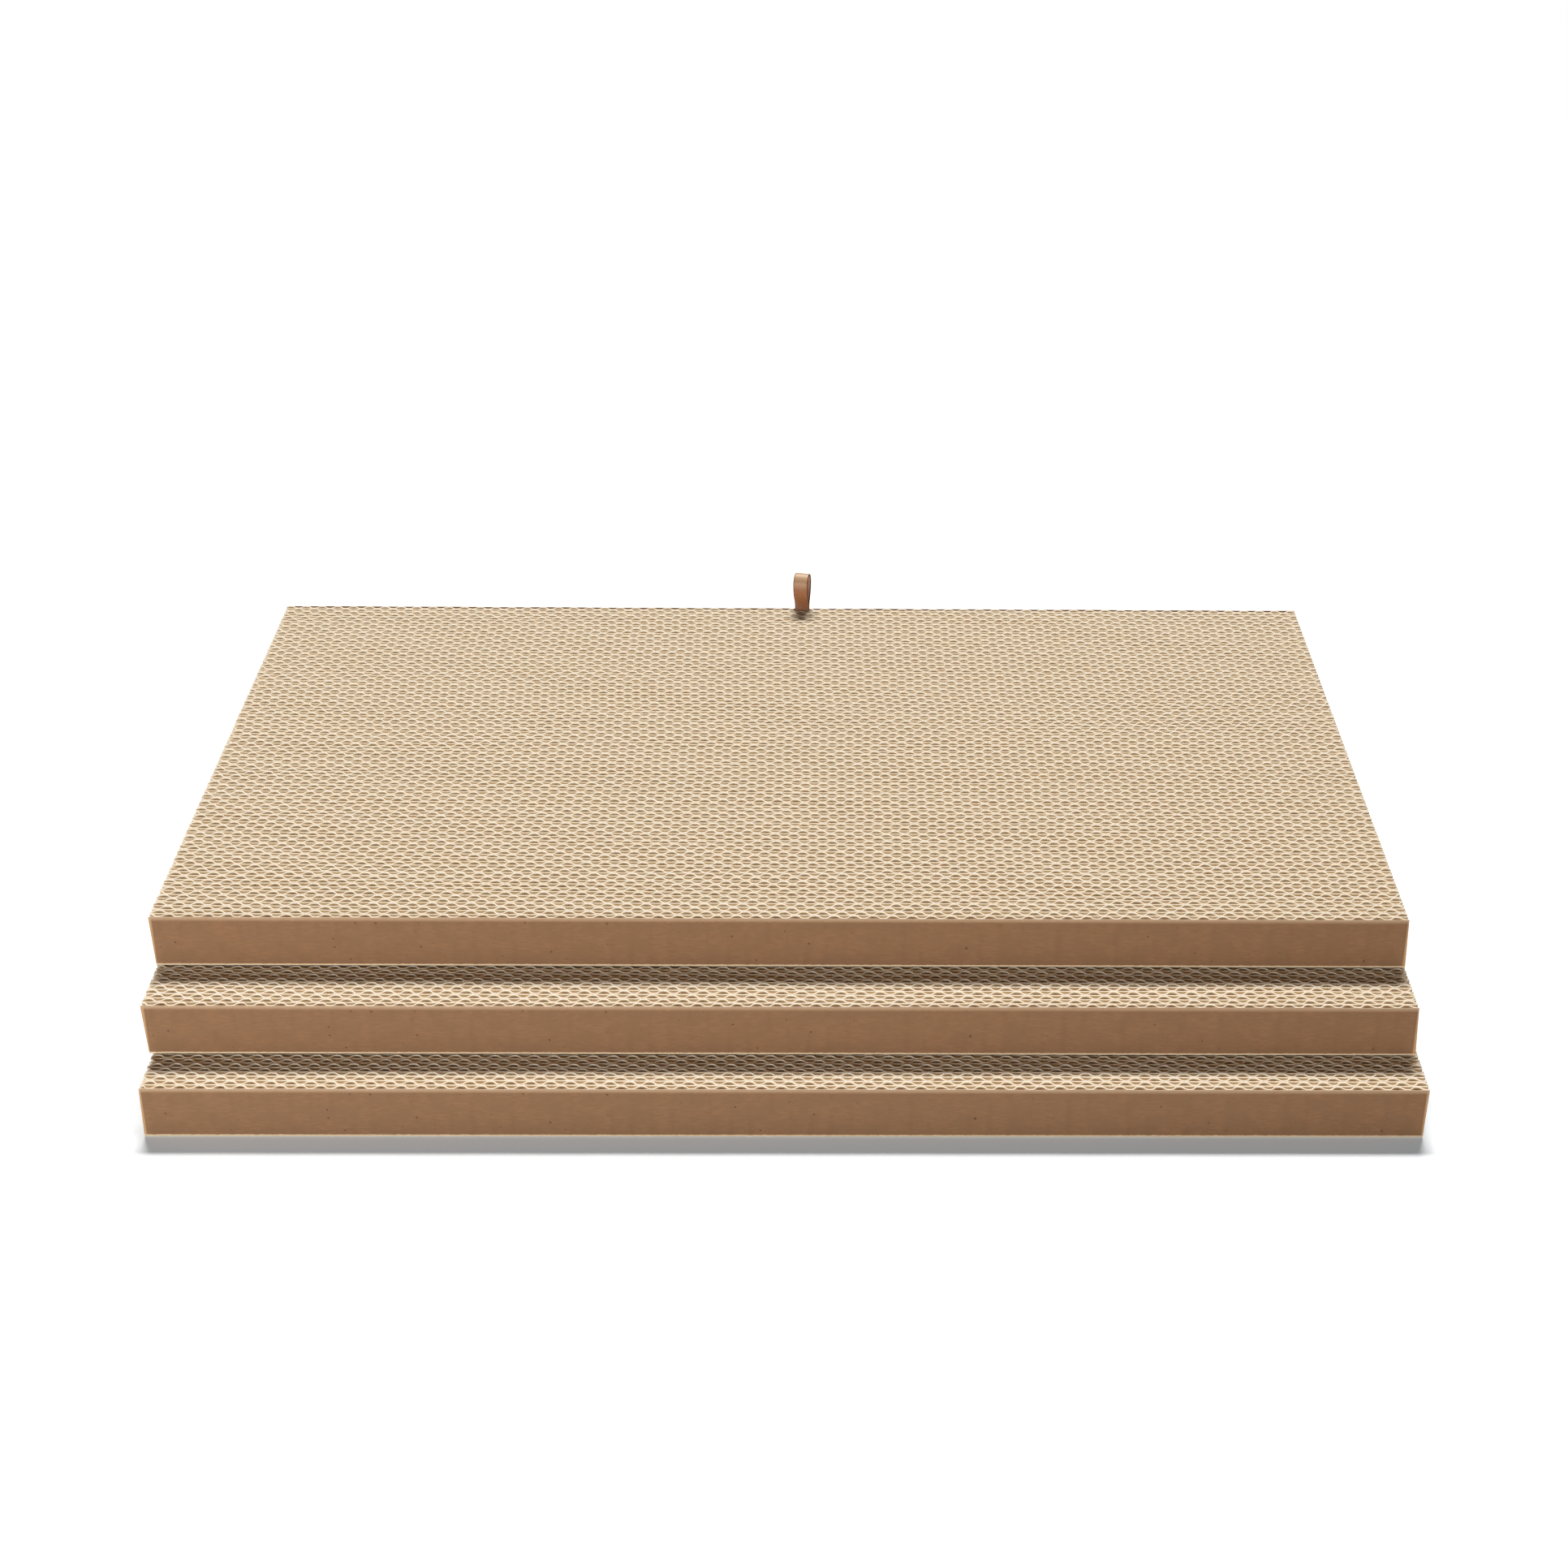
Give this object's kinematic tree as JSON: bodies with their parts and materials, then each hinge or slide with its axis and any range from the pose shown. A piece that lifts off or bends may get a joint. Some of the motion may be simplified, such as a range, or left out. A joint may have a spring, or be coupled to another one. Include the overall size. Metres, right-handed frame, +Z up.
{
  "type": "cat scratching board set",
  "caption": "Stack of equal corrugated cardboard scratching boards, stepped back from front to rear, with a small leather pull loop on the top board.",
  "frame": {"origin": "middle of the space that the stack covers, on the surface it stands on", "axes": "+X along the strips to the right seen from the front, +Y from the front to the rear, +Z up"},
  "size_m": [0.422, 0.2974, 0.073],
  "materials": {
    "kraft_facing": "brown kraft liner paper, matte",
    "cut_cardboard": "cut edges of corrugated board, matte",
    "fluted_paper": "fluted medium paper, matte",
    "tan_leather": "smooth tan leather, satin"
  },
  "bodies": {
    "bottom_board": {"bottom_front_facing": "kraft_facing", "bottom_front_flutes": "fluted_paper", "bottom_front_inner_liner": "cut_cardboard", "bottom_strips_1": "cut_cardboard", "bottom_strips_2": "cut_cardboard", "bottom_strips_3": "cut_cardboard", "bottom_strips_4": "cut_cardboard", "bottom_strips_5": "cut_cardboard", "bottom_strips_6": "cut_cardboard", "bottom_strips_7": "cut_cardboard", "bottom_strips_8": "cut_cardboard", "bottom_rear_facing": "kraft_facing"},
    "middle_board": {"middle_front_facing": "kraft_facing", "middle_front_flutes": "fluted_paper", "middle_front_inner_liner": "cut_cardboard", "middle_strips_1": "cut_cardboard", "middle_strips_2": "cut_cardboard", "middle_strips_3": "cut_cardboard", "middle_strips_4": "cut_cardboard", "middle_strips_5": "cut_cardboard", "middle_strips_6": "cut_cardboard", "middle_strips_7": "cut_cardboard", "middle_strips_8": "cut_cardboard", "middle_rear_facing": "kraft_facing"},
    "top_board": {"top_front_facing": "kraft_facing", "top_front_flutes": "fluted_paper", "top_front_inner_liner": "cut_cardboard", "top_strips_1": "cut_cardboard", "top_strips_2": "cut_cardboard", "top_strips_3": "cut_cardboard", "top_strips_4": "cut_cardboard", "top_strips_5": "cut_cardboard", "top_strips_6": "cut_cardboard", "top_strips_7": "cut_cardboard", "top_strips_8": "cut_cardboard", "top_rear_inner_liner": "cut_cardboard", "top_rear_flutes": "fluted_paper", "top_rear_facing": "kraft_facing", "pull_loop_tail": "tan_leather"},
    "loop": {"pull_loop": "tan_leather"}
  },
  "joints": [
    {"name": "middle_board_slide", "type": "slide", "parent": "bottom_board", "child": "middle_board", "axis": [0, 1, 0], "range_m": [-0.0198, 0.04]},
    {"name": "top_board_slide", "type": "slide", "parent": "middle_board", "child": "top_board", "axis": [0, 1, 0], "range_m": [-0.0244, 0.04]},
    {"name": "loop_bend", "type": "hinge", "parent": "top_board", "child": "loop", "pos_m": [0.0027, 0.14423, 0.0581], "axis": [1, 0, 0], "range_deg": [-65, 65], "stiffness_Nm_per_rad": 0.0002}
  ]
}
